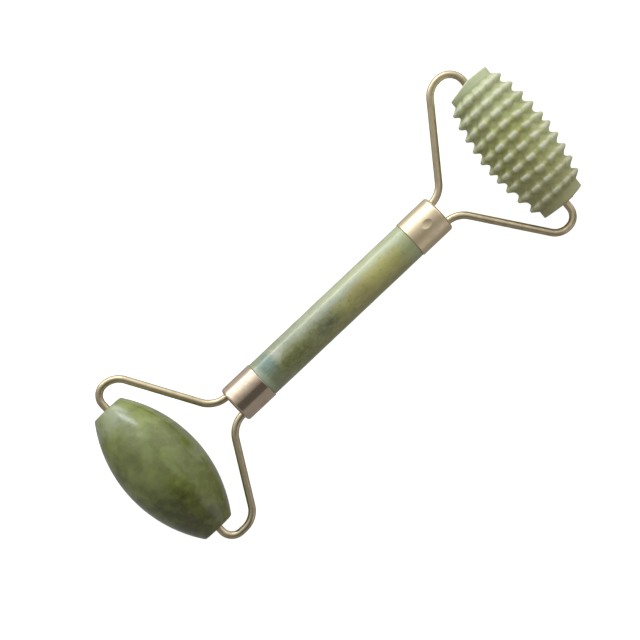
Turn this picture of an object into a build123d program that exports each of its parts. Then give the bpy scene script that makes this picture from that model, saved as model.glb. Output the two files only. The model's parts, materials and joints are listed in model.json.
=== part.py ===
from build123d import *

import math
import os
from dataclasses import dataclass

# Double-ended jade face roller, lying flat as it does on a table.
# Millimetres. The origin is the middle of the handle, on the handle's centre line.
# +X runs from the smooth roller's end to the ridged roller's end, and +Z is up.
# Both wire forks lie in the plane z = 0, and both rollers turn on axes in that plane.

# ---- Handle: a ground stone rod with a drawn metal ferrule glued on each end ----
handle_length = 72.0  # outer face of one ferrule to outer face of the other
rod_diameter = 10.1
spigot_diameter = 9.5  # the rod's ends are ground down to go inside the ferrules
ferrule_diameter = 10.5
ferrule_wall = 0.4
ferrule_plate = 0.6  # thickness of the closed end that the wire comes out of
ferrule_edge_radius = 0.8
ferrule_lip_radius = 0.15
chamber_depth = 3.2  # from the plate's inner face to the end of the rod's spigot
rod_edge = 0.25  # chamfer on the shoulders and the spigot ends

# ---- Wire of the forks ----
wire_diameter = 2.0
leg_offset = 3.05  # of each leg's centre line from the handle's centre line
leg_hole_diameter = 2.24
crossbar_depth = 2.0  # of the crossbar's centre line behind the plate's inner face
crossbar_bend = 1.8
pin_depth = 5.0  # how far each pin goes into its roller
pin_tip_chamfer = 0.25

# ---- Bushes: top-hat sleeves pressed into the roller's ends ----
bush_diameter = 3.6
bush_bore = 2.16
bush_length = 6.0
flange_diameter = 5.0
flange_thickness = 0.6
socket_depth = 6.6  # of the blind hole that each bush sits in
socket_relief = 2.0  # the same hole's cutter stands out this far beyond the flange

# ---- Smooth roller ----
smooth_length = 41.5
smooth_diameter = 22.3
smooth_end_diameter = 9.0
smooth_end_radius = 0.7

# ---- Ridged roller ----
ridged_length = 40.0
collar_diameter = 12.5
collar_edge = 0.3
end_land_diameter = 5.8  # the flat middle of each end face, round the bush
end_cone_angle = 6.0  # degrees that the rest of each end face falls away
ring_count = 10
ring_pitch = 3.48
ring_diameter_middle = 20.7
ring_diameter_last = 16.3
ring_crest = 0.5  # flat width of each ring's crest
ring_height = 1.45
row_count = 13
row_phase = 3.7  # degrees from straight up, turned towards the handle
notch_depth_middle = 1.1  # of the lengthwise notches, at the middle of the roller
notch_depth_last = 0.45  # of the same notches, at the last ring
notch_reach = 3.0  # how far each notch cutter stands out beyond its floor
notch_sweep = 13.0  # degrees each way from the middle
bevel_angle = 15.0  # degrees ground off the +Y end's face, on the handle's side

# ---- Dimple punched in the ridged end's ferrule, which grips the rod's spigot ----
dimple_radius = 6.5
dimple_depth = 0.2
dimple_from_face = 4.7
dimple_y = 0.2

coincident = 0.01  # two places closer than this are the same place


@dataclass
class Arm:
    """One side of a fork, from the ferrule's hole to the pin in the roller."""

    side: int  # +1 on the +Y side, -1 on the -Y side
    angle: float  # of the slanting run to the handle's centre line, degrees
    reach: float  # of the outer run's centre line from the handle's centre line
    mouth_radius: float
    shoulder_radius: float
    pin_radius: float


@dataclass
class Head:
    """One end of the tool: a ferrule, a fork and where its roller sits."""

    name: str
    facing: int  # +1 where the head points to +X, -1 where it points to -X
    ferrule_length: float
    bend_x: float  # where a leg's centre line meets its slanting run's
    axis_x: float  # where the roller's axis crosses the handle's centre line
    lean: float  # of the roller's axis from the Y axis, towards +X at its +Y end
    roller_middle: float  # along the axis, from the handle's centre line
    roller_length: float
    beveled: bool  # whether the roller's +Y end has the ground bevel
    arms: tuple

    def on_axis(self, distance):
        """The point on the roller's axis this far from the handle's centre line."""
        lean = math.radians(self.lean)
        return (self.axis_x + distance * math.sin(lean), distance * math.cos(lean))

    def axis_at_height(self, y):
        """The point on the roller's axis with this y."""
        return (self.axis_x + y * math.tan(math.radians(self.lean)), y)

    def roller_end(self, side):
        """How far along the axis the roller's end face is, at the axis."""
        return self.roller_middle + side * self.roller_length / 2


smooth_head = Head(
    name="smooth",
    facing=-1,
    ferrule_length=9.7,
    bend_x=-39.8,
    axis_x=-60.45,
    lean=0.0,
    roller_middle=0.9,
    roller_length=smooth_length,
    beveled=False,
    arms=(
        Arm(1, 60.0, 26.9, 7.0, 5.7, 3.5),
        Arm(-1, 60.0, 24.6, 7.0, 6.1, 3.5),
    ),
)
ridged_head = Head(
    name="ridged",
    facing=1,
    ferrule_length=10.25,
    bend_x=39.1,
    axis_x=62.5,
    lean=3.3,
    roller_middle=-0.4,
    roller_length=ridged_length,
    beveled=True,
    arms=(
        Arm(1, 52.4, 25.1, 6.6, 6.0, 4.4),
        Arm(-1, 54.9, 25.4, 6.6, 4.8, 3.7),
    ),
)
heads = (smooth_head, ridged_head)


def arc_radius(half_chord, rise):
    """Radius of the arc that rises this much at the middle of a chord."""
    return (half_chord**2 + rise**2) / (2 * rise)


def along_x(x_from, x_to, diameter, y=0.0):
    """A round bar along X between two places."""
    bar = Cylinder(diameter / 2, abs(x_to - x_from), rotation=(0, 90, 0))
    return Pos((x_from + x_to) / 2, y, 0) * bar


def face_x(head):
    """The outer face of the ferrule."""
    return head.facing * handle_length / 2


def plate_x(head):
    """The inner face of the ferrule's closed end."""
    return head.facing * (handle_length / 2 - ferrule_plate)


def spigot_x(head):
    """The end face of the rod's spigot."""
    return head.facing * (handle_length / 2 - ferrule_plate - chamber_depth)


def mouth_x(head):
    """The open edge of the ferrule, against the rod's shoulder."""
    return head.facing * (handle_length / 2 - head.ferrule_length)


def handle_rod():
    """The stone rod: a polished middle and a spigot at each end."""
    middle = along_x(mouth_x(smooth_head), mouth_x(ridged_head), rod_diameter)
    middle = chamfer(middle.edges().filter_by(GeomType.CIRCLE), rod_edge)
    spigot = along_x(spigot_x(smooth_head), spigot_x(ridged_head), spigot_diameter)
    spigot = chamfer(spigot.edges().filter_by(GeomType.CIRCLE), rod_edge)
    return middle + spigot


def rims_outward(shape, head):
    """The round edges of a bar along X, from the handle's side outwards."""
    rims = shape.edges().filter_by(GeomType.CIRCLE).sort_by(Axis.X)
    return rims if head.facing > 0 else rims[::-1]


def ferrule(head):
    """A drawn cup with two holes in its closed end, rounded on its outer edge."""
    cup = along_x(mouth_x(head), face_x(head), ferrule_diameter)
    cup = fillet(rims_outward(cup, head)[-1], ferrule_edge_radius)
    cup = fillet(rims_outward(cup, head)[0], ferrule_lip_radius)
    inner = ferrule_diameter - 2 * ferrule_wall
    cup -= along_x(mouth_x(head) - head.facing, plate_x(head), inner)
    for arm in head.arms:
        start = plate_x(head) - head.facing
        end = face_x(head) + head.facing
        cup -= along_x(start, end, leg_hole_diameter, arm.side * leg_offset)
    return cup


def dimpled(cup, head):
    """The same ferrule with the punched dimple in its upper side."""
    x = head.facing * (handle_length / 2 - dimple_from_face)
    z = ferrule_diameter / 2 - dimple_depth + dimple_radius
    return cup - Pos(x, dimple_y, z) * Sphere(dimple_radius)


def fork_corners(head):
    """Corners of the wire's centre line, and the bend radius at each of them."""
    crossbar_x = plate_x(head) - head.facing * crossbar_depth
    upper, lower = (arm_corners(head, arm) for arm in head.arms)
    legs = [(crossbar_x, leg_offset), (crossbar_x, -leg_offset)]
    points = upper[::-1] + legs + lower
    radii = arm_radii(head.arms[0])[::-1] + [crossbar_bend] * 2 + arm_radii(head.arms[1])
    return points, radii


def arm_corners(head, arm):
    """The arm's corners in order: mouth, shoulder, pin bend and pin tip."""
    run = (arm.reach - leg_offset) / math.tan(math.radians(arm.angle))
    mouth = (head.bend_x, arm.side * leg_offset)
    shoulder = (head.bend_x + head.facing * run, arm.side * arm.reach)
    pin_bend = head.axis_at_height(arm.side * arm.reach)
    tip = head.on_axis(head.roller_end(arm.side) - arm.side * pin_depth)
    return [mouth, shoulder, pin_bend, tip]


def arm_radii(arm):
    """Bend radii at the mouth, the shoulder and the pin."""
    return [arm.mouth_radius, arm.shoulder_radius, arm.pin_radius]


def fork(head):
    """One length of wire, bent cold, with chamfered pin tips."""
    points, radii = fork_corners(head)
    path = FilletPolyline(*points, radius=radii)
    section = Plane(origin=path @ 0, z_dir=path % 0) * Circle(wire_diameter / 2)
    wire = sweep(section, path=path)
    expected = math.pi * (wire_diameter / 2) ** 2 * path.length
    share = round(wire.volume / expected, 5)
    print(head.name, "wire length", round(path.length, 2), "volume over section times length", share)
    tips = wire.edges().filter_by(GeomType.CIRCLE).filter_by(lambda edge: at_tip(edge, points))
    return chamfer(tips, pin_tip_chamfer)


def at_tip(edge, points):
    """True for the round edge at either end of the wire."""
    tips = (Vector(*points[0]), Vector(*points[-1]))
    return min((edge.arc_center - tip).length for tip in tips) < coincident


def potting(head, wire):
    """Cast adhesive: it fills the ferrule behind its plate and sleeves the spigot."""
    inner = ferrule_diameter - 2 * ferrule_wall
    fill = along_x(mouth_x(head) + head.facing * rod_edge, plate_x(head), inner)
    return fill - handle_rod() - wire


def on_roller_axis(head, distance, turn=0.0):
    """Places a shape made along +Z on the roller's axis, with its +Z towards +Y."""
    x, y = head.on_axis(distance)
    return Pos(x, y, 0) * Rot(0, 0, -head.lean) * Rot(-90, 0, 0) * Rot(0, 0, turn)


def downward(diameter, length):
    """A round bar along Z whose top face is at z = 0."""
    return Cylinder(diameter / 2, length, align=(Align.CENTER, Align.CENTER, Align.MAX))


def at_flange(head, side, shape):
    """Places a shape with its z = 0 at a flange's outer face and +Z out of the roller."""
    flip = Rot(180 if side < 0 else 0, 0, 0)
    return on_roller_axis(head, flange_place(head, side)) * flip * shape


def flange_place(head, side):
    """How far along the axis a flange's outer face is, sunk below the bevel's edge."""
    sunk = 0.0
    if side > 0 and head.beveled:
        sunk = flange_diameter / 2 * math.tan(math.radians(bevel_angle))
    return head.roller_end(side) - side * sunk


def bush(head, side):
    """A top-hat sleeve, with its flange outwards at the roller's end."""
    shape = downward(bush_diameter, bush_length) + downward(flange_diameter, flange_thickness)
    shape -= downward(bush_bore, bush_length)
    return at_flange(head, side, shape)


def socket(head, side):
    """The blind stepped hole that a bush sits in, as a solid to cut away."""
    hole = downward(bush_diameter, socket_depth) + downward(flange_diameter, flange_thickness)
    hole += Pos(0, 0, socket_relief) * downward(flange_diameter, socket_relief)
    return at_flange(head, side, hole)


def smooth_stone():
    """A barrel turned to one long arc, with small flat ends."""
    half = smooth_length / 2
    middle_radius = smooth_diameter / 2
    end_radius = smooth_end_diameter / 2
    belly = ThreePointArc((end_radius, -half), (middle_radius, 0), (end_radius, half))
    ends = Polyline((end_radius, half), (0, half), (0, -half), (end_radius, -half))
    barrel = revolve(Plane.XZ * make_face([belly, *ends.edges()]), Axis.Z)
    rims = barrel.edges().filter_by(GeomType.CIRCLE).sort_by(Axis.Z)
    barrel = fillet([rims[0], rims[-1]], smooth_end_radius)
    return on_roller_axis(smooth_head, smooth_head.roller_middle) * barrel


def ring_radius(place):
    """Crest radius of a ring this far from the roller's middle."""
    last = (ring_count - 1) / 2 * ring_pitch
    rise = (ring_diameter_middle - ring_diameter_last) / 2
    sweep_radius = arc_radius(last, rise)
    return ring_diameter_middle / 2 - sweep_radius + math.sqrt(sweep_radius**2 - place**2)


def ringed_profile():
    """Half section of the ridged roller before its lengthwise notches."""
    half = ridged_length / 2
    collar = collar_diameter / 2
    flank = (ring_pitch - ring_crest) / 2
    land = end_land_diameter / 2
    edge = collar - collar_edge
    rim = half - (edge - land) * math.tan(math.radians(end_cone_angle))
    points = [(0, -half), (land, -half), (edge, -rim), (collar, collar_edge - rim)]
    places = [(i - (ring_count - 1) / 2) * ring_pitch for i in range(ring_count)]
    rise = ring_radius(places[0]) - collar
    points.append((collar, places[0] - ring_crest / 2 - rise))
    for i, place in enumerate(places):
        crest = ring_radius(place)
        points.append((crest, place - ring_crest / 2))
        points.append((crest, place + ring_crest / 2))
        if i < ring_count - 1:
            valley = (crest + ring_radius(places[i + 1])) / 2 - ring_height
            points.append((valley, place + ring_crest / 2 + flank))
    points.append((collar, places[-1] + ring_crest / 2 + rise))
    points += [(collar, rim - collar_edge), (edge, rim), (land, half), (0, half)]
    return Plane.XZ * make_face(Polyline(*points, close=True).edges())


def notch_cutter(turn):
    """A V-section bent along the barrel, which cuts one lengthwise notch."""
    last = (ring_count - 1) / 2 * ring_pitch
    floor = ring_diameter_middle / 2 - notch_depth_middle
    floor_last = ring_diameter_last / 2 - notch_depth_last
    bend = arc_radius(last, floor - floor_last)
    rim = floor + notch_reach
    section = Polyline((floor, 0), (rim, notch_reach), (rim, -notch_reach), close=True)
    bend_axis = Axis((floor - bend, 0, 0), (0, 1, 0))
    start = make_face(section.edges()).rotate(bend_axis, -notch_sweep)
    return Rot(0, 0, turn) * revolve(start, bend_axis, 2 * notch_sweep)


def ridged_stone():
    """A ringed barrel with lengthwise notches that leave rows of blunt teeth."""
    stone = revolve(ringed_profile(), Axis.Z)
    step = 360 / row_count
    stone -= [notch_cutter((i + 0.5) * step) for i in range(row_count)]
    turn = -90 - row_phase
    stone = on_roller_axis(ridged_head, ridged_head.roller_middle, turn) * stone
    return stone - bevel_block()


def bevel_block():
    """A block whose underside is the bevel at the roller's +Y end."""
    side = 2 * ring_diameter_middle
    block = Box(side, side, side, align=(Align.CENTER, Align.CENTER, Align.MIN))
    place = on_roller_axis(ridged_head, ridged_head.roller_end(1))
    return place * Rot(0, -bevel_angle, 0) * block


def save(shape, node):
    """Writes one node's STEP file."""
    solids = shape.solids()
    print(node, "solids", len(solids), "volume", round(sum(s.volume for s in solids), 2))
    export_step(shape, f"parts/{node}.step")


def main():
    os.makedirs("parts", exist_ok=True)
    save(handle_rod(), "handle_rod")
    for head in heads:
        wire = fork(head)
        cup = ferrule(head)
        if head is ridged_head:
            cup = dimpled(cup, head)
        stone = smooth_stone() if head is smooth_head else ridged_stone()
        stone -= [socket(head, side) for side in (1, -1)]
        save(cup, f"{head.name}_end_ferrule")
        save(wire, f"{head.name}_end_fork")
        save(potting(head, wire), f"{head.name}_end_potting")
        save(stone, f"{head.name}_roller")
        save(bush(head, 1), f"{head.name}_roller_bush_left")
        save(bush(head, -1), f"{head.name}_roller_bush_right")


main()
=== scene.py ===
import json
import math

import bpy
import numpy as np
from mathutils import Matrix, Vector


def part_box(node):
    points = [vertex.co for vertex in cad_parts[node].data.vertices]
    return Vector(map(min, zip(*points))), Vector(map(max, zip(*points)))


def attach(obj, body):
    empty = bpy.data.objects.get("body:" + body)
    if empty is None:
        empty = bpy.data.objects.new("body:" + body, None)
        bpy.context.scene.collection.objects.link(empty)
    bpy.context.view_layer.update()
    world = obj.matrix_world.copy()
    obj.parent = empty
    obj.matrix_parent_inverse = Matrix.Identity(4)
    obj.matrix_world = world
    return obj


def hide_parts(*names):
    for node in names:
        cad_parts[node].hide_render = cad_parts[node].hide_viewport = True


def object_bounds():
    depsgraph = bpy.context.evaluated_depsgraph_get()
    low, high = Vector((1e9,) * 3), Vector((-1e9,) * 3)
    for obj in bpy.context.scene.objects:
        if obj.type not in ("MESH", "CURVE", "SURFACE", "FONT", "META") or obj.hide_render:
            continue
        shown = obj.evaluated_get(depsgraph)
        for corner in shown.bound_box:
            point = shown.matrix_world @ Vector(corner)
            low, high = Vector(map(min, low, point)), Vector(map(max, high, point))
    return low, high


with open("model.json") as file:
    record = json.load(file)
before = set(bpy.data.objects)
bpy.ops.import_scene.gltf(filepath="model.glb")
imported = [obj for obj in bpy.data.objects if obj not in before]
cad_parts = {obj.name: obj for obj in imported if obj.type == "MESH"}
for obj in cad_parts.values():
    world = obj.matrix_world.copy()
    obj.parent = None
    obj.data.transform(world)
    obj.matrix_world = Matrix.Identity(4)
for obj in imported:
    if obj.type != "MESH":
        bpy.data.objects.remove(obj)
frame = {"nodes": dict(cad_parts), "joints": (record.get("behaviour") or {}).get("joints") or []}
cad_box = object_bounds()

MM = 0.001  # the frame is in metres, and the sizes below are in millimetres
SEED = 11
ROUNDING_STEPS = 6  # of the mesh, over each rounded edge

# ---- Smooth roller ----
SMOOTH_END_RADIUS = 4.5
SMOOTH_END_ROUNDING = 0.7
SMOOTH_KNEE = 1.6  # how far from the end face the long arc takes over from the rounded edge
SMOOTH_ROWS = 64  # of the mesh, from the knee to the middle
SMOOTH_COLUMNS = 240
POLISH_DEPTH = 0.05  # how far hand polishing leaves the surface off true

# ---- Stepped hole in each end of a roller, for its bush ----
SOCKET_RADIUS = 1.8
SOCKET_DEPTH = 6.6
FLANGE_RADIUS = 2.5
FLANGE_DEPTH = 0.6
SOCKET_EDGE = 0.1

# ---- Ridged roller ----
RIDGED_HALF = 20.0
RIDGED_MIDDLE = -0.4  # along its axis, from the handle's centre line
RIDGED_SHOULDER = 17.9  # where the collars end and the rings' field takes over
BELLY_ROWS = 200  # of the mesh, from shoulder to shoulder
TOOTH_COLUMNS = 28
RING_COUNT = 10
RING_PITCH = 3.48
RING_CREST = 0.5
RING_ROUNDING = 0.12  # of each crest's edges
RING_BLEND = 0.7  # over which a ring runs into the groove
RING_SLOPE = 1.6  # rise over run of the rings' flanks
RING_HEIGHT = 1.6
RING_RADIUS_MIDDLE = 10.34
RING_RADIUS_LAST = 8.2
RING_TILT = 2.0  # degrees that the rings' planes are off square to the axis
RING_SLIDE = 0.15  # how far each ring wanders along the roller on its way round
RING_BUNCHES = (  # where uneven grinding pushed the rings along, by how much, how widely, which side
    (-7.5, 0.9, 4.5, 1),
    (3.0, -0.6, 3.0, -1),
)
ROW_COUNT = 13
ROW_PHASE = 3.7  # degrees from straight up, turned towards the handle
ROW_WANDER = 0.05  # of the rows' pitch, that the teeth are off their rows
TOOTH_LOSS = 0.12  # the most that a tooth is ground lower than its ring
TOOTH_SPAN = (0.19, 0.44)  # of the rows' pitch each way, over which a tooth falls off
NOTCH_DEPTH_MIDDLE = 1.1
NOTCH_DEPTH_LAST = 0.5
NOTCH_UNEVEN = 0.2  # share by which the notches' depth varies
COCKED = 1.0  # degrees that the ground outside is off the line of the drilled hole
COLLAR_RADIUS = 6.25
COLLAR_EDGE = 0.3
COLLAR_BLEND = 0.25  # over which a collar runs into the last ring's foot
COLLAR_CHALK_AND_SHADE = 0.45  # how chalky the collars are, with chalk that is partly a painted highlight, and how much painted groove shade they keep, from 0, a groove, to 1, a crest
END_LAND_RADIUS = 2.9
END_RADII = (3.7, 4.5, 5.3)  # of the mesh's rows between the land and the collar's edge
END_CONES = {1: 1.5, -1: 5.0}  # degrees, at the +Y end and the -Y end
FLANGE_SUNK = 0.67  # how far the bush at the beveled end stands below that end's plane
BEVEL = 13.0  # degrees, on the handle's side of the +Y end
BEVEL_OUTER = 8.0  # degrees, on the far side of the -Y end

# ---- Rod ----
SPIGOT_RADIUS = 4.75
SPIGOT_FOOT = 0.05  # clear of the shoulder, so that the inner corner stays sharp
ROD_EDGE = 0.25
ROD_LEAD = 0.6  # from each shoulder to the first row of the polished middle
ROD_ROWS = 120
ROD_COLUMNS = 160
ROD_WAVE = 0.03  # how far hand polishing leaves the surface off true

# ---- Colour patches in the stones, as shares of each patch's size ----
PATCH_SOFT = 0.7
PATCH_RAGGED = 0.9

# ---- Camera, straight down, with the picture's up and right in the frame ----
PICTURE_RIGHT = Vector((0.7273, -0.6864, 0.0))
PICTURE_UP = Vector((0.6864, 0.7273, 0.0))
PICTURE_CENTRE = Vector((-5.1, 0.96, 0.0))
PICTURE_WIDTH = 164.0  # at the height of the roller axes
LENS = 100.0
SENSOR = 36.0

# ---- Floor ----
FLOOR_REACH = 4.0  # metres each way
FLOOR_TONES = ((0.3, (0.58, 0.58, 0.57)), (0.7, (0.62, 0.62, 0.61)))
FLOOR_GLOW = 0.85

# ---- Light ----
WORLD_FILL = 0.28
WORLD_BRIGHT = 0.95
SKY_WAY = Vector((0.55, 0.835, 0.0))  # towards the bright side of the room
SKY_SPAN = (-0.08, 0.85)  # of the cosine of the angle to it, over which it brightens
BELOW_SPAN = (-0.35, 0.05)  # of a direction's height, over which it dims below the horizon
BELOW_LEFT = 0.30
WINDOW_BRIGHT = 0.40
WINDOW_WAY = Vector((0.20, 0.90, 0.40)).normalized()
WINDOW_SPAN = (0.80, 0.97)
DARK_WAY = Vector((0.0, -0.50, 0.86)).normalized()  # what hangs over the table and looks dark
DARK_SPAN = (0.870, 0.935)
DARK_LEFT = 0.10
WARM_WHITE = (1.0, 0.99, 0.97)
COOL_WHITE = (0.94, 1.0, 1.04)

# Name, colour, radiance, width and height, place, and what it faces.
LAMPS = (
    ("bar", COOL_WHITE, 5.5, (200.0, 90.0), (167.0, 398.0, 220.0), (-20.0, 0.0, 0.0)),
    ("strip", COOL_WHITE, 3.2, (500.0, 70.0), (20.0, 420.0, 62.0), (20.0, 0.0, 5.0)),
    ("card", WARM_WHITE, 0.38, (190.0, 300.0), (130.0, -300.0, 140.0), (130.0, 0.0, 140.0)),
    ("canopy", WARM_WHITE, 0.40, (56.0, 120.0), (68.0, -46.0, 100.0), (68.0, -46.0, 0.0)),
)


# ======================= meshes =======================


def mesh_piece(name, vertices, faces, body, node, attributes=None):
    """A smooth-shaded piece that rides a body and stands for one CAD node."""
    mesh = bpy.data.meshes.new(name)
    mesh.from_pydata((np.asarray(vertices) * MM).tolist(), [], faces)
    mesh.validate()
    mesh.shade_smooth()
    for key, values in (attributes or {}).items():
        layer = mesh.attributes.new(key, "FLOAT", "POINT")
        layer.data.foreach_set("value", np.asarray(values, np.float32))
    piece = bpy.data.objects.new(name, mesh)
    bpy.context.scene.collection.objects.link(piece)
    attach(piece, body)
    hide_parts(node)
    return piece


def node_box(node):
    """A CAD node's lowest and highest corners, in mm."""
    low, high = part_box(node)
    return np.array(low) / MM, np.array(high) / MM


def joint_line(name):
    """A point on a joint's axis, in mm, and the axis."""
    joint = next(j for j in frame["joints"] if j["name"] == name)
    return np.array(joint["pos_m"]) / MM, np.array(joint["axis"], float)


class Lathe:
    """A place to turn a shape: a centre, an axis, up, and the side square to both."""

    def __init__(self, centre, axis):
        self.centre = np.array(centre, float)
        self.axis = np.array(axis, float)
        self.up = np.array((0.0, 0.0, 1.0))
        self.side = np.cross(self.up, self.axis)

    def points(self, along, radius, turn):
        """The grid's points and, last, the two points where the end fans meet."""
        out = np.cos(turn)[..., None] * self.up + np.sin(turn)[..., None] * self.side
        grid = self.centre + along[..., None] * self.axis + radius[..., None] * out
        ends = [self.centre + along[row].mean() * self.axis for row in (0, -1)]
        return np.vstack([grid.reshape(-1, 3), ends])


def lathe_faces(rows, columns):
    """Quads of a sleeve of rows x columns points that closes sideways, and a fan at each end."""
    faces = []
    for i in range(rows - 1):
        low, high = i * columns, (i + 1) * columns
        for j in range(columns):
            k = (j + 1) % columns
            faces.append((low + j, high + j, high + k, low + k))
    first, last = rows * columns, rows * columns + 1
    top = (rows - 1) * columns
    for j in range(columns):
        k = (j + 1) % columns
        faces.append((first, j, k))
        faces.append((last, top + k, top + j))
    return faces


def turns(columns):
    """Angles of the columns, from straight up towards the side."""
    return np.linspace(0, 2 * math.pi, columns, endpoint=False)[None, :]


def rounded(before, corner, after, radius):
    """Points of the arc that rounds a corner between two straight runs."""
    a, b, c = (np.array(p, float) for p in (before, corner, after))
    to_a = (a - b) / np.linalg.norm(a - b)
    to_c = (c - b) / np.linalg.norm(c - b)
    half = math.acos(float(to_a @ to_c)) / 2
    start = b + to_a * radius / math.tan(half)
    end = b + to_c * radius / math.tan(half)
    middle = b + (to_a + to_c) / np.linalg.norm(to_a + to_c) * radius / math.sin(half)
    turn = math.pi - 2 * half
    points = []
    for share in np.linspace(0, 1, ROUNDING_STEPS + 1):
        near = math.sin((1 - share) * turn) * (start - middle)
        far = math.sin(share * turn) * (end - middle)
        points.append(tuple(middle + (near + far) / math.sin(turn)))
    return points


def socket_outline(face):
    """The stepped hole at one end, as places and radii from its floor to its rim."""
    floor = face - SOCKET_DEPTH
    step = face - FLANGE_DEPTH
    outline = [(floor, SOCKET_RADIUS / 2), (floor, SOCKET_RADIUS - SOCKET_EDGE)]
    outline += [(floor + SOCKET_EDGE, SOCKET_RADIUS), (floor / 2 + step / 2, SOCKET_RADIUS)]
    outline += [(step - SOCKET_EDGE, SOCKET_RADIUS), (step, SOCKET_RADIUS + SOCKET_EDGE)]
    outline += [(step, FLANGE_RADIUS - SOCKET_EDGE / 2), (step + SOCKET_EDGE / 2, FLANGE_RADIUS)]
    return outline


def arc_over(half_chord, middle, end):
    """The height at each place of the arc that is this high in the middle and at its ends."""
    rise = middle - end
    sweep = (half_chord**2 + rise**2) / (2 * rise)
    return lambda s: middle - sweep + np.sqrt(np.maximum(sweep**2 - np.square(s), 0))


def soft_noise(rng, shape, cells):
    """Smooth random values from -1 to 1 on a grid that closes on itself sideways."""
    rows, columns = cells
    knots = rng.uniform(-1, 1, (rows + 2, columns))
    u = np.linspace(0, rows, shape[0])
    v = np.linspace(0, columns, shape[1], endpoint=False)
    iu, iv = np.floor(u).astype(int), np.floor(v).astype(int)
    fu, fv = u - iu, v - iv
    fu = (fu * fu * (3 - 2 * fu))[:, None]
    fv = (fv * fv * (3 - 2 * fv))[None, :]
    next_v = (iv + 1) % columns
    near = knots[iu][:, iv] * (1 - fv) + knots[iu][:, next_v] * fv
    far = knots[iu + 1][:, iv] * (1 - fv) + knots[iu + 1][:, next_v] * fv
    return near * (1 - fu) + far * fu


def smooth_min(a, b, blend):
    """The lower of two heights, with the crease between them rounded."""
    share = np.clip(0.5 + 0.5 * (b - a) / blend, 0, 1)
    return b * (1 - share) + a * share - blend * share * (1 - share)


def smooth_max(a, b, blend):
    """The higher of two heights, with the crease between them rounded."""
    return -smooth_min(-a, -b, blend)


def smooth_stone():
    """The smooth roller: one long hand-polished arc, flat ends and a hole in each."""
    low, high = node_box("smooth_roller")
    at, axis = joint_line("smooth_roller_spin")
    half = (high[1] - low[1]) / 2
    belly = (high[2] - low[2]) / 2
    arc = arc_over(half, belly, SMOOTH_END_RADIUS)
    knee = half - SMOOTH_KNEE
    corner = rounded(
        (half, FLANGE_RADIUS), (half, SMOOTH_END_RADIUS), (knee, arc(knee)), SMOOTH_END_ROUNDING
    )
    outline = socket_outline(half)
    outline += [(half, r) for r in (FLANGE_RADIUS + SOCKET_EDGE, 3.1)] + corner
    outline += [(s, arc(s)) for s in np.linspace(knee, 0, SMOOTH_ROWS)]
    outline += [(-s, r) for s, r in outline[-2::-1]]
    along, radius = (np.array(v)[:, None] for v in zip(*outline))
    rng = np.random.default_rng(SEED)
    shape = (len(outline), SMOOTH_COLUMNS)
    polish = (soft_noise(rng, shape, (9, 7)) + 0.6 * soft_noise(rng, shape, (19, 17))) / 1.6
    fade = np.clip((radius - SMOOTH_END_RADIUS) / 2, 0, 1)
    radius = radius - POLISH_DEPTH * fade * (polish + 1) / 2
    centre = at + axis * ((low[1] + high[1]) / 2 - at[1])
    along = along + np.zeros(shape)
    everywhere = turns(SMOOTH_COLUMNS) + np.zeros(shape)
    points = Lathe(centre, axis).points(along, radius, everywhere)
    faces = lathe_faces(*shape)
    return mesh_piece(
        "smooth_roller_stone", points, faces, "smooth_head", "smooth_roller"
    )


def ring_field(rng, along, turn):
    """Radius of the cut stone at each place along and turn round, and how near that is to a crest."""
    last = (RING_COUNT - 1) / 2 * RING_PITCH
    crest_arc = arc_over(last, RING_RADIUS_MIDDLE, RING_RADIUS_LAST)
    square = along + RING_RADIUS_MIDDLE * np.sin(turn) * math.tan(math.radians(RING_TILT))
    inside = np.clip(square, -last, last)
    groove = crest_arc(inside) - RING_HEIGHT
    wander = ROW_WANDER * soft_noise(rng, square.shape, (RING_COUNT, ROW_COUNT))
    row = (turn - math.radians(ROW_PHASE)) / (2 * math.pi / ROW_COUNT) + wander
    off_tooth = np.abs(row - np.round(row))
    fall = np.clip((off_tooth - TOOTH_SPAN[0]) / (TOOTH_SPAN[1] - TOOTH_SPAN[0]), 0, 1)
    shallow = (inside / last) ** 2
    depth = NOTCH_DEPTH_MIDDLE + (NOTCH_DEPTH_LAST - NOTCH_DEPTH_MIDDLE) * shallow
    depth = depth * (1 + NOTCH_UNEVEN * soft_noise(rng, square.shape, (RING_COUNT, ROW_COUNT)))
    notch = depth * fall * fall * (3 - 2 * fall)
    field = groove - np.abs(square - inside)
    for i in range(RING_COUNT):
        place = (i - (RING_COUNT - 1) / 2) * RING_PITCH
        teeth = soft_noise(rng, (2, turn.shape[1]), (1, ROW_COUNT * 2))[:1]
        slide = RING_SLIDE * soft_noise(rng, (2, turn.shape[1]), (1, 9))[:1]
        for middle, push, spread, side in RING_BUNCHES:
            share = math.exp(-(((place - middle) / spread) ** 2))
            slide = slide + push * share * np.maximum(side * np.sin(turn), 0)
        crest = crest_arc(place) - TOOTH_LOSS * (teeth + 1) / 2 - notch
        away = np.maximum(np.abs(square - place - slide) - RING_CREST / 2, 0)
        ring = crest - RING_SLOPE * (np.hypot(away, RING_ROUNDING) - RING_ROUNDING)
        field = smooth_max(field, ring, RING_BLEND)
    return field, np.clip((field - groove) / RING_HEIGHT, 0, 1)


def end_face(radius, turn, half, side):
    """How far along the axis the end face is, at each radius and turn."""
    cone = np.maximum(radius - END_LAND_RADIUS, 0) * math.tan(math.radians(END_CONES[side]))
    inward = radius * np.sin(turn) * side
    slope = BEVEL if side > 0 else BEVEL_OUTER
    return half - np.maximum(cone, inward * math.tan(math.radians(slope)))


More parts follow.
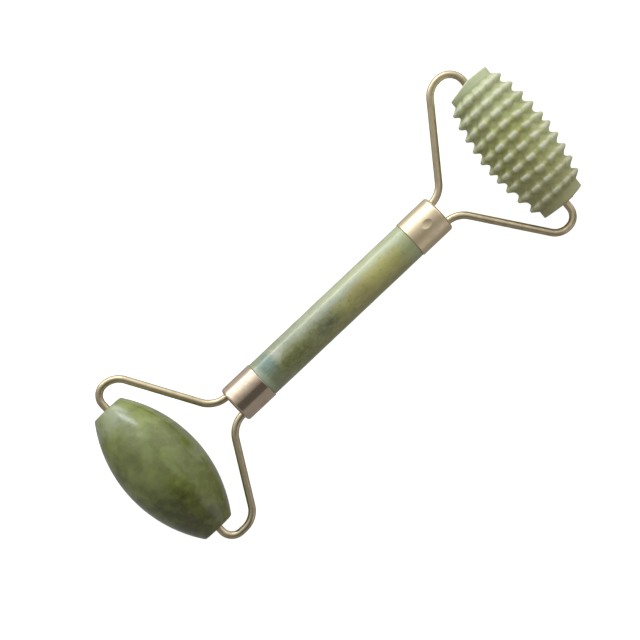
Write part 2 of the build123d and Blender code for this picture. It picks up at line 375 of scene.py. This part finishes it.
def ridged_end(side, turn):
    """Rows of one end of the ridged roller, from its hole's floor to the last ring's foot."""
    half = RIDGED_HALF
    sunk = FLANGE_SUNK if side > 0 else 0
    wide = np.zeros(turn.shape)
    rows = [(s + wide, r + wide) for s, r in socket_outline(half - sunk)]
    for radius in (FLANGE_RADIUS, FLANGE_RADIUS + 0.08, END_LAND_RADIUS, *END_RADII):
        rows.append((end_face(radius, turn, half, side), radius + wide))
    edge = COLLAR_RADIUS - COLLAR_EDGE
    for lift in np.radians((0, 20, 40, 60, 80)):
        radius = edge + COLLAR_EDGE * math.sin(lift)
        fall = COLLAR_EDGE * (1 - math.cos(lift))
        rows.append((end_face(edge, turn, half, side) - fall, radius + wide))
    start = rows[-1][0]
    for share in np.linspace(0, 1, 12)[1:]:
        rows.append((start + (RIDGED_SHOULDER - start) * share, COLLAR_RADIUS + wide))
    return [(s * side, r) for s, r in rows]


def ridged_stone():
    """The ridged roller: ten rings of blunt teeth between two collars."""
    at, axis = joint_line("ridged_roller_spin")
    turn = turns(ROW_COUNT * TOOTH_COLUMNS)
    rng = np.random.default_rng(SEED + 1)
    first = ridged_end(-1, turn)
    last = ridged_end(1, turn)[::-1]
    belly_s = np.linspace(-RIDGED_SHOULDER, RIDGED_SHOULDER, BELLY_ROWS)[1:-1, None]
    rows = first + [(s + np.zeros(turn.shape), None) for s in belly_s] + last
    along = np.vstack([s for s, _ in rows])
    everywhere = turn + np.zeros(along.shape)
    field, crest = ring_field(rng, along, everywhere)
    radius = np.vstack([r if r is not None else np.zeros(turn.shape) for _, r in rows])
    belly = np.array([r is None for _, r in rows])
    collar = np.array([r is not None and abs(r[0, 0] - COLLAR_RADIUS) < 1e-6 for _, r in rows])
    cut = smooth_max(field, np.full(field.shape, COLLAR_RADIUS), COLLAR_BLEND)
    radius[belly | collar] = cut[belly | collar]
    # The collars get a middle share: some painted groove shade, and some chalk that is partly a painted
    # highlight.
    crest[~belly] = COLLAR_CHALK_AND_SHADE
    place = Lathe(at + axis * RIDGED_MIDDLE, axis)
    points = place.points(along, radius, everywhere)
    outside = np.clip((radius - END_LAND_RADIUS) / 2, 0, 1) * along * math.tan(math.radians(COCKED))
    points[:-2] -= outside.reshape(-1, 1) * place.side
    # How near each point is to a crest: the mask for crest chalk, partly a painted highlight, and for
    # groove colour, partly painted shade.
    crest_mask_for_wear_and_shade = np.concatenate([crest.ravel(), [0, 0]])
    faces = lathe_faces(*along.shape)
    return mesh_piece(
        "ridged_roller_stone", points, faces, "ridged_head", "ridged_roller",
        {"crest": crest_mask_for_wear_and_shade},
    )


def handle_stone():
    """The handle's rod: a polished middle between two spigots ground down for the ferrules."""
    low, high = node_box("handle_rod")
    left = node_box("smooth_end_ferrule")[1][0]
    right = node_box("ridged_end_ferrule")[0][0]
    rod = (high[2] - low[2]) / 2
    outline = [(low[0], SPIGOT_RADIUS / 2), (low[0], SPIGOT_RADIUS - ROD_EDGE)]
    outline += [(low[0] + ROD_EDGE, SPIGOT_RADIUS), (left - SPIGOT_FOOT, SPIGOT_RADIUS)]
    outline += rounded((left, SPIGOT_RADIUS), (left, rod), (left + 1, rod), ROD_EDGE)
    outline += [(s, rod) for s in np.linspace(left + ROD_LEAD, right - ROD_LEAD, ROD_ROWS)]
    outline += rounded((right - 1, rod), (right, rod), (right, SPIGOT_RADIUS), ROD_EDGE)
    outline += [(right + SPIGOT_FOOT, SPIGOT_RADIUS), (high[0] - ROD_EDGE, SPIGOT_RADIUS)]
    outline += [(high[0], SPIGOT_RADIUS - ROD_EDGE), (high[0], SPIGOT_RADIUS / 2)]
    along, radius = (np.array(v)[:, None] for v in zip(*outline))
    shape = (len(outline), ROD_COLUMNS)
    rng = np.random.default_rng(SEED + 2)
    wave = (soft_noise(rng, shape, (16, 8)) + 1) / 2
    radius = np.where(radius > rod - 1e-6, radius - ROD_WAVE * wave, radius)
    along = along + np.zeros(shape)
    everywhere = turns(ROD_COLUMNS) + np.zeros(shape)
    points = Lathe((0, 0, 0), (1, 0, 0)).points(along, radius, everywhere)
    faces = lathe_faces(*shape)
    return mesh_piece("handle_stone", points, faces, "handle", "handle_rod")


# ======================= materials =======================


class Graph:
    """A material's node tree, with a short call for each kind of node that is used here."""

    def __init__(self, tree):
        self.tree = tree
        self.place = None

    def add(self, kind, **settings):
        node = self.tree.nodes.new(kind)
        for key, value in settings.items():
            setattr(node, key, value)
        return node

    def put(self, socket, value):
        """Links a socket to another, or gives it a value."""
        if isinstance(value, bpy.types.NodeSocket):
            self.tree.links.new(value, socket)
        elif isinstance(value, tuple) and socket.type == "RGBA":
            socket.default_value = (*value[:3], 1.0)
        else:
            socket.default_value = value

    def noise(self, scale, detail=3.0, rough=0.5, at=None, stretch=None):
        """Noise whose scale is in features per mm."""
        at = at or self.place
        if stretch:
            at = self.vector("MULTIPLY", at, stretch)
        node = self.add("ShaderNodeTexNoise")
        self.put(node.inputs["Vector"], at)
        node.inputs["Scale"].default_value = scale
        node.inputs["Detail"].default_value = detail
        node.inputs["Roughness"].default_value = rough
        return node

    def vector(self, operation, a, b):
        node = self.add("ShaderNodeVectorMath", operation=operation)
        self.put(node.inputs[0], a)
        if operation == "SCALE":
            self.put(node.inputs["Scale"], b)
        else:
            self.put(node.inputs[1], b)
        single = operation in ("DOT_PRODUCT", "LENGTH")
        return node.outputs["Value" if single else "Vector"]

    def math(self, operation, a, b):
        node = self.add("ShaderNodeMath", operation=operation)
        self.put(node.inputs[0], a)
        self.put(node.inputs[1], b)
        return node.outputs[0]

    def ease(self, value, low, high, to_low=0.0, to_high=1.0):
        """A smooth step from to_low, where value is low, to to_high, where it is high."""
        node = self.add("ShaderNodeMapRange", interpolation_type="SMOOTHSTEP")
        self.put(node.inputs["Value"], value)
        for key, number in (
            ("From Min", low), ("From Max", high), ("To Min", to_low), ("To Max", to_high),
        ):
            node.inputs[key].default_value = number
        return node.outputs["Result"]

    def mix(self, share, a, b):
        node = self.add("ShaderNodeMix", data_type="RGBA")
        self.put(node.inputs[0], share)
        self.put(node.inputs[6], a)
        self.put(node.inputs[7], b)
        return node.outputs[2]

    def ramp(self, value, stops):
        node = self.add("ShaderNodeValToRGB")
        self.put(node.inputs[0], value)
        ramp = node.color_ramp
        while len(ramp.elements) < len(stops):
            ramp.elements.new(0.5)
        for element, (position, colour) in zip(ramp.elements, stops):
            element.position = position
            element.color = (*colour, 1.0)
        return node.outputs[0]

    def warped(self, scale, amount):
        """The place in mm, pushed about by noise."""
        shift = self.vector("SUBTRACT", self.noise(scale, 3.0).outputs["Color"], (0.5, 0.5, 0.5))
        return self.vector("ADD", self.place, self.vector("SCALE", shift, amount))

    def blob(self, at, centre, size):
        """1 inside an ellipsoid about centre, falling to 0 outside it along a cloudy edge."""
        apart = self.vector("SUBTRACT", at, centre)
        spans = self.vector("DIVIDE", apart, size)
        torn = self.math("MULTIPLY", self.noise(0.55, 4.0, 0.6).outputs["Fac"], PATCH_RAGGED)
        reach = self.math("ADD", self.vector("LENGTH", spans, (0, 0, 0)), torn)
        edge = 1.0 + PATCH_RAGGED / 2
        return self.ease(reach, edge + PATCH_SOFT, edge - PATCH_SOFT)

    def bump(self, height, distance):
        """A normal tilted by a height, which is 0 to 1 over a distance in metres."""
        node = self.add("ShaderNodeBump")
        self.put(node.inputs["Height"], height)
        node.inputs["Distance"].default_value = distance
        return node.outputs["Normal"]


def surface(name):
    """A new material, its graph with places in mm, and its shader's inputs."""
    material = bpy.data.materials.new(name)
    material.use_nodes = True
    graph = Graph(material.node_tree)
    place = graph.add("ShaderNodeTexCoord").outputs["Object"]
    graph.place = graph.vector("SCALE", place, 1 / MM)
    return material, graph, material.node_tree.nodes["Principled BSDF"].inputs


def dress(target, material):
    """Gives a piece or a CAD node one material."""
    target.data.materials.clear()
    target.data.materials.append(material)


def stone_finish(graph, shader, colour, polish, subsurface, grain):
    """Colour, polish and depth of a waxy stone, with fine grain and a few pits."""
    graph.put(shader["Base Color"], colour)
    smear = graph.noise(0.35, 4.0, 0.6).outputs["Fac"]
    graph.put(shader["Roughness"], graph.ease(smear, 0.3, 0.7, polish, polish + 0.12))
    shader["IOR"].default_value = 1.6
    shader["Specular IOR Level"].default_value = 0.25
    shader["Subsurface Weight"].default_value = subsurface
    shader["Subsurface Radius"].default_value = (0.9, 1.0, 0.55)
    shader["Subsurface Scale"].default_value = 0.0022
    fine = graph.noise(2.4, 6.0, 0.65).outputs["Fac"]
    pits = graph.noise(6.0, 2.0, 0.5).outputs["Fac"]
    height = graph.math("ADD", fine, graph.math("MULTIPLY", graph.ease(pits, 0.34, 0.2), -0.3))
    graph.put(shader["Normal"], graph.bump(height, grain))


def patched(graph, colour, at, patches):
    """The colour with soft patches laid over it: centre, size, colour and strength of each."""
    for centre, size, shade, strength in patches:
        mask = graph.math("MULTIPLY", graph.blob(at, centre, size), strength)
        colour = graph.mix(mask, colour, shade)
    return colour


def smooth_jade():
    """Olive serpentine: yellow-green clouds, fine mottling, pale veils, a dark brown-green outer side
    and -Y end that are partly painted shade, and a paler +Y end that is partly painted light.
    """
    material, graph, shader = surface("smooth_jade")
    bent = graph.warped(0.16, 5.0)
    cloud = graph.noise(0.20, 4.0, 0.52, at=bent).outputs["Fac"]
    colour = graph.ramp(cloud, (
        (0.34, (0.115, 0.135, 0.018)),
        (0.46, (0.168, 0.194, 0.034)),
        (0.58, (0.222, 0.262, 0.056)),
        (0.70, (0.290, 0.330, 0.110)),
    ))
    colour = patched(graph, colour, bent, (
        # Darker outer side towards the -Y end: partly the stone's colour, partly painted shade.
        ((-64.5, -11.0, 8.0), (5.5, 9.0, 7.0), (0.064, 0.073, 0.010), 0.85),
        # Darker -Y end: partly the stone's colour, partly painted shade.
        ((-60.0, -17.0, 6.0), (8.0, 6.0, 8.0), (0.105, 0.100, 0.032), 0.75),
        ((-63.0, 6.0, 10.0), (6.0, 8.0, 5.0), (0.250, 0.280, 0.120), 0.5),
        ((-52.5, -4.0, 5.0), (4.5, 14.0, 7.0), (0.115, 0.138, 0.012), 0.75),
        ((-55.5, 15.5, 3.0), (3.0, 4.5, 5.0), (0.250, 0.310, 0.050), 0.75),
        # Paler +Y end: partly pale stone, partly painted light.
        ((-63.0, 19.0, 4.0), (6.0, 3.0, 7.0), (0.370, 0.410, 0.250), 0.7),
        ((-56.5, 4.0, 9.0), (2.5, 4.0, 4.0), (0.190, 0.240, 0.035), 0.7),
        ((-57.7, -0.4, 10.0), (0.9, 2.4, 3.0), (0.290, 0.345, 0.140), 0.5),
        ((-51.6, -1.0, 4.0), (1.2, 2.2, 3.5), (0.330, 0.370, 0.230), 0.6),
        # Darker top of the -Y end: partly the stone's colour, partly painted shade.
        ((-61.0, -15.5, 8.5), (5.0, 3.0, 4.0), (0.070, 0.080, 0.014), 0.7),
    ))
    mottle = graph.noise(0.42, 2.5, 0.50).outputs["Fac"]
    colour = graph.mix(graph.ease(mottle, 0.45, 0.66, 0.0, 0.26), colour, (0.300, 0.345, 0.085))
    shade = graph.noise(0.28, 2.5, 0.50, at=bent).outputs["Fac"]
    colour = graph.mix(graph.ease(shade, 0.50, 0.32, 0.0, 0.32), colour, (0.085, 0.105, 0.012))
    stone_finish(graph, shader, colour, 0.26, 0.12, 0.000003)
    polished_coat(shader, 0.19)
    return material


def ridged_jade():
    """Paler, satin stone: chalky crests that are partly a painted highlight, darker olive down in the
    grooves that is partly painted shade, and a lighter +Y end and darker -Y end painted as light and
    shade.
    """
    material, graph, shader = surface("ridged_jade")
    bent = graph.warped(0.12, 6.0)
    cloud = graph.noise(0.12, 5.0, 0.55, at=bent).outputs["Fac"]
    colour = graph.ramp(cloud, (
        (0.34, (0.500, 0.510, 0.220)),
        (0.50, (0.600, 0.620, 0.330)),
        (0.66, (0.670, 0.680, 0.435)),
    ))
    colour = patched(graph, colour, bent, (
        # Lighter +Y end and darker -Y end, in these two patches: painted light and shade.
        ((63.0, 18.5, 3.0), (9.0, 4.0, 8.0), (0.660, 0.720, 0.510), 0.7),
        ((61.0, -18.5, 3.0), (9.0, 4.0, 8.0), (0.350, 0.335, 0.180), 0.8),
        ((58.0, -7.0, 7.0), (5.5, 9.0, 6.0), (0.400, 0.385, 0.190), 0.6),
        ((70.0, 2.0, 4.0), (4.5, 16.0, 7.0), (0.660, 0.690, 0.440), 0.5),
    ))
    spread = graph.math("MULTIPLY", graph.noise(0.9, 4.0, 0.6).outputs["Fac"], 0.5)
    crest = graph.add("ShaderNodeAttribute", attribute_name="crest").outputs["Fac"]
    wear_and_groove_shade = graph.math("ADD", crest, spread)
    # Darker, more saturated olive in the grooves: partly the stone's colour, partly painted shade.
    colour = graph.mix(graph.ease(wear_and_groove_shade, 0.82, 0.34, 0.0, 0.46), colour, (0.370, 0.400, 0.100))
    chalk_and_highlight = graph.ramp(cloud, (
        (0.35, (0.590, 0.590, 0.430)),
        (0.65, (0.680, 0.670, 0.520)),
    ))
    # Pale chalk on the crests: partly worn stone, partly a painted highlight.
    colour = graph.mix(graph.ease(wear_and_groove_shade, 0.75, 1.10), colour, chalk_and_highlight)
    colour = patched(graph, colour, bent, (
        # Lighter +Y end and darker -Y end over the chalk: painted light and shade.
        ((64.0, 16.0, 3.0), (11.0, 8.0, 12.0), (0.740, 0.790, 0.560), 0.32),
        ((60.0, -16.0, 3.0), (11.0, 7.0, 12.0), (0.400, 0.385, 0.220), 0.45),
    ))
    stone_finish(graph, shader, colour, 0.34, 0.34, 0.00001)
    return material


def handle_jade():
    """Green stone: a teal patch, a yellow-olive length, dark veins, one side paler, partly pale
    clouding and partly painted light, with a painted bluish sheen, and the other side darker, partly
    painted shade.
    """
    material, graph, shader = surface("handle_jade")
    bent = graph.warped(0.30, 2.6)
    cloud = graph.noise(0.22, 6.0, 0.62, at=bent).outputs["Fac"]
    colour = graph.ramp(cloud, (
        (0.34, (0.200, 0.225, 0.085)),
        (0.50, (0.285, 0.305, 0.135)),
        (0.64, (0.380, 0.395, 0.210)),
    ))
    colour = patched(graph, colour, bent, (
        ((13.0, -1.0, 4.0), (12.0, 5.0, 7.0), (0.560, 0.540, 0.175), 0.9),
        # Darker -Y side: partly the stone's colour, partly painted shade.
        ((11.0, -4.2, 2.2), (24.0, 2.2, 3.0), (0.300, 0.270, 0.066), 0.7),
        ((7.0, -1.0, 5.0), (3.5, 3.5, 4.0), (0.370, 0.320, 0.120), 0.6),
        ((-15.0, -1.6, 5.0), (5.5, 2.8, 4.0), (0.195, 0.205, 0.062), 0.85),
        ((-5.0, -0.8, 5.0), (3.6, 2.0, 3.0), (0.150, 0.165, 0.080), 0.75),
        ((-3.3, -1.4, 5.0), (1.3, 1.0, 2.0), (0.110, 0.110, 0.060), 0.7),
        ((25.0, 0.0, 3.5), (3.0, 6.0, 5.0), (0.440, 0.500, 0.260), 0.8),
        # Paler +Y side, here and in the next patch: partly pale clouding, partly painted light.
        ((-10.0, 3.2, 3.0), (12.0, 2.2, 3.0), (0.350, 0.385, 0.265), 0.8),
        ((12.0, 3.6, 3.0), (20.0, 1.8, 3.0), (0.540, 0.580, 0.360), 0.85),
        # Bluish-grey band along the top: a painted sheen.
        ((2.0, 1.9, 4.4), (9.0, 0.8, 2.0), (0.330, 0.370, 0.310), 0.5),
        ((-19.2, 2.3, 4.2), (1.8, 1.4, 1.8), (0.520, 0.540, 0.430), 0.7),
        ((-22.7, 2.0, 4.2), (2.0, 3.4, 3.4), (0.155, 0.265, 0.225), 0.95),
        ((-23.0, -3.0, 3.6), (2.6, 2.2, 3.0), (0.250, 0.285, 0.150), 0.85),
        ((-25.6, 0.5, 4.8), (1.1, 4.5, 3.0), (0.380, 0.480, 0.360), 0.85),
    ))
    grain = graph.noise(1.2, 6.0, 0.7, stretch=(0.6, 1.0, 1.0)).outputs["Fac"]
    colour = graph.mix(graph.ease(grain, 0.44, 0.68, 0.0, 0.35), colour, (0.500, 0.520, 0.330))
    fleck = graph.noise(0.9, 5.0, 0.7, at=bent).outputs["Fac"]
    colour = graph.mix(graph.ease(fleck, 0.42, 0.28, 0.0, 0.6), colour, (0.130, 0.140, 0.060))
    stone_finish(graph, shader, colour, 0.24, 0.14, 0.000003)
    polished_coat(shader, 0.20)
    return material


def polished_coat(shader, rough):
    """The waxed outer polish of a smooth stone."""
    shader["Coat Weight"].default_value = 0.9
    shader["Coat Roughness"].default_value = rough
    shader["Coat IOR"].default_value = 1.6


def plated_metal(name, colour, dull, rough, lines, relief):
    """Plated brass: its finish marks, handling marks, and duller patches."""
    material, graph, shader = surface(name)
    marks = graph.noise(0.45, 5.0, 0.6).outputs["Fac"]
    graph.put(shader["Base Color"], graph.mix(graph.ease(marks, 0.42, 0.68, 0.0, 0.8), colour, dull))
    shader["Metallic"].default_value = 1.0
    scratch = graph.noise(1.0, 3.0, 0.6, stretch=lines).outputs["Fac"]
    wear_and_groove_shade = graph.math("ADD", graph.math("MULTIPLY", marks, 0.6), graph.math("MULTIPLY", scratch, 0.4))
    graph.put(shader["Roughness"], graph.ease(wear_and_groove_shade, 0.35, 0.65, rough, rough + 0.12))
    graph.put(shader["Normal"], graph.bump(scratch, relief))
    return material


def bush_plastic():
    """Moulded nylon, slightly see-into, with a faint mould grain."""
    material, graph, shader = surface("bush_plastic")
    tint = graph.noise(0.8, 3.0, 0.5).outputs["Fac"]
    colour = graph.ramp(tint, ((0.35, (0.52, 0.50, 0.42)), (0.65, (0.64, 0.62, 0.54))))
    graph.put(shader["Base Color"], colour)
    grain = graph.noise(9.0, 3.0, 0.6).outputs["Fac"]
    graph.put(shader["Roughness"], graph.ease(grain, 0.3, 0.7, 0.42, 0.56))
    shader["Subsurface Weight"].default_value = 0.2
    shader["Subsurface Radius"].default_value = (1.0, 0.9, 0.7)
    shader["Subsurface Scale"].default_value = 0.001
    graph.put(shader["Normal"], graph.bump(grain, 0.000006))
    return material


def cast_epoxy():
    """Amber adhesive with small bubbles."""
    material, graph, shader = surface("cast_epoxy")
    flow = graph.noise(0.6, 4.0, 0.6).outputs["Fac"]
    colour = graph.ramp(flow, ((0.35, (0.30, 0.20, 0.08)), (0.65, (0.46, 0.34, 0.16))))
    graph.put(shader["Base Color"], colour)
    bubbles = graph.noise(3.5, 2.0, 0.5).outputs["Fac"]
    graph.put(shader["Roughness"], graph.ease(bubbles, 0.3, 0.6, 0.35, 0.15))
    graph.put(shader["Normal"], graph.bump(graph.ease(bubbles, 0.25, 0.4), 0.00003))
    return material


# ======================= stage =======================


def camera():
    """Looks straight down, with a long lens."""
    data = bpy.data.cameras.new("camera")
    data.lens = LENS
    data.sensor_width = SENSOR
    data.clip_start = 0.01
    data.clip_end = 20
    view = bpy.data.objects.new("camera", data)
    height = PICTURE_WIDTH * LENS / SENSOR
    place = (PICTURE_CENTRE + Vector((0, 0, height))) * MM
    turn = Matrix((PICTURE_RIGHT, PICTURE_UP, (0, 0, 1))).transposed().to_4x4()
    view.matrix_world = Matrix.Translation(place) @ turn
    bpy.context.scene.collection.objects.link(view)
    bpy.context.scene.camera = view


def floor():
    """A plain pale table that glows a little, so that shadows on it stay faint."""
    top = cad_box[0].z
    corners = [(x * FLOOR_REACH, y * FLOOR_REACH, top) for x, y in ((-1, -1), (1, -1), (1, 1), (-1, 1))]
    mesh = bpy.data.meshes.new("floor")
    mesh.from_pydata(corners, [], [(0, 1, 2, 3)])
    table = bpy.data.objects.new("floor", mesh)
    bpy.context.scene.collection.objects.link(table)
    table.visible_glossy = False
    table.visible_diffuse = False
    material, graph, shader = surface("floor")
    tone = graph.noise(0.004, 2.0, 0.5).outputs["Fac"]
    graph.put(shader["Base Color"], graph.ramp(tone, FLOOR_TONES))
    shader["Roughness"].default_value = 0.9
    shader["Specular IOR Level"].default_value = 0.1
    shader["Emission Color"].default_value = (1.0, 1.0, 0.99, 1.0)
    shader["Emission Strength"].default_value = FLOOR_GLOW
    dress(table, material)


def studio():
    """Soft light from all round, brighter towards the picture's upper edge, and a soft window."""
    world = bpy.data.worlds.new("studio")
    bpy.context.scene.world = world
    world.use_nodes = True
    graph = Graph(world.node_tree)
    way = graph.add("ShaderNodeTexCoord").outputs["Generated"]
    towards = {
        key: graph.vector("DOT_PRODUCT", way, tuple(direction))
        for key, direction in (
            ("sky", SKY_WAY), ("above", (0.0, 0.0, 1.0)), ("window", WINDOW_WAY), ("dark", DARK_WAY),
        )
    }
    sky = graph.ease(towards["sky"], *SKY_SPAN, 0.0, WORLD_BRIGHT)
    window = graph.ease(towards["window"], *WINDOW_SPAN, 0.0, WINDOW_BRIGHT)
    bright = graph.math("ADD", sky, window)
    bright = graph.math("MULTIPLY", bright, graph.ease(towards["above"], *BELOW_SPAN, BELOW_LEFT, 1.0))
    fill = graph.ease(towards["dark"], *DARK_SPAN, WORLD_FILL, DARK_LEFT)
    background = world.node_tree.nodes["Background"]
    tint = graph.mix(graph.ease(towards["window"], *WINDOW_SPAN), WARM_WHITE, COOL_WHITE)
    graph.put(background.inputs["Color"], tint)
    graph.put(background.inputs["Strength"], graph.math("ADD", bright, fill))


def lamp(name, colour, radiance, size, place, target):
    """A soft rectangular light, which the metal and the polish reflect."""
    data = bpy.data.lights.new(name, "AREA")
    data.shape = "RECTANGLE"
    data.size, data.size_y = (side * MM for side in size)
    data.energy = radiance * math.pi * data.size * data.size_y
    data.color = colour
    light = bpy.data.objects.new(name, data)
    way = (Vector(target) - Vector(place)).normalized()
    light.rotation_euler = way.to_track_quat("-Z", "Y").to_euler()
    light.location = Vector(place) * MM
    light.visible_camera = False
    bpy.context.scene.collection.objects.link(light)


# ======================= the object =======================


def dress_nodes():
    """Materials of the pieces that come from CAD as they are."""
    nodes = frame["nodes"]
    turned = (9.0, 0.4, 0.4)  # fine lines round the ferrules
    drawn = (1.2, 1.2, 1.2)  # even marks on the wire
    polished = plated_metal(
        "ferrule_polished", (0.80, 0.65, 0.50), (0.66, 0.51, 0.38), 0.12, turned, 0.000004
    )
    satin = plated_metal(
        "ferrule_satin", (0.83, 0.70, 0.48), (0.76, 0.63, 0.41), 0.32, turned, 0.000004
    )
    wire = plated_metal(
        "wire_brass", (0.67, 0.575, 0.385), (0.52, 0.425, 0.265), 0.27, drawn, 0.000002
    )
    dress(nodes["smooth_end_ferrule"], polished)
    dress(nodes["ridged_end_ferrule"], satin)
    nylon = bush_plastic()
    epoxy = cast_epoxy()
    for head in ("smooth", "ridged"):
        dress(nodes[f"{head}_end_fork"], wire)
        dress(nodes[f"{head}_end_potting"], epoxy)
        for side in ("left", "right"):
            dress(nodes[f"{head}_roller_bush_{side}"], nylon)


def main():
    bpy.context.scene.view_settings.view_transform = "Standard"
    camera()
    floor()
    studio()
    for settings in LAMPS:
        lamp(*settings)
    dress(smooth_stone(), smooth_jade())
    dress(ridged_stone(), ridged_jade())
    dress(handle_stone(), handle_jade())
    dress_nodes()


main()
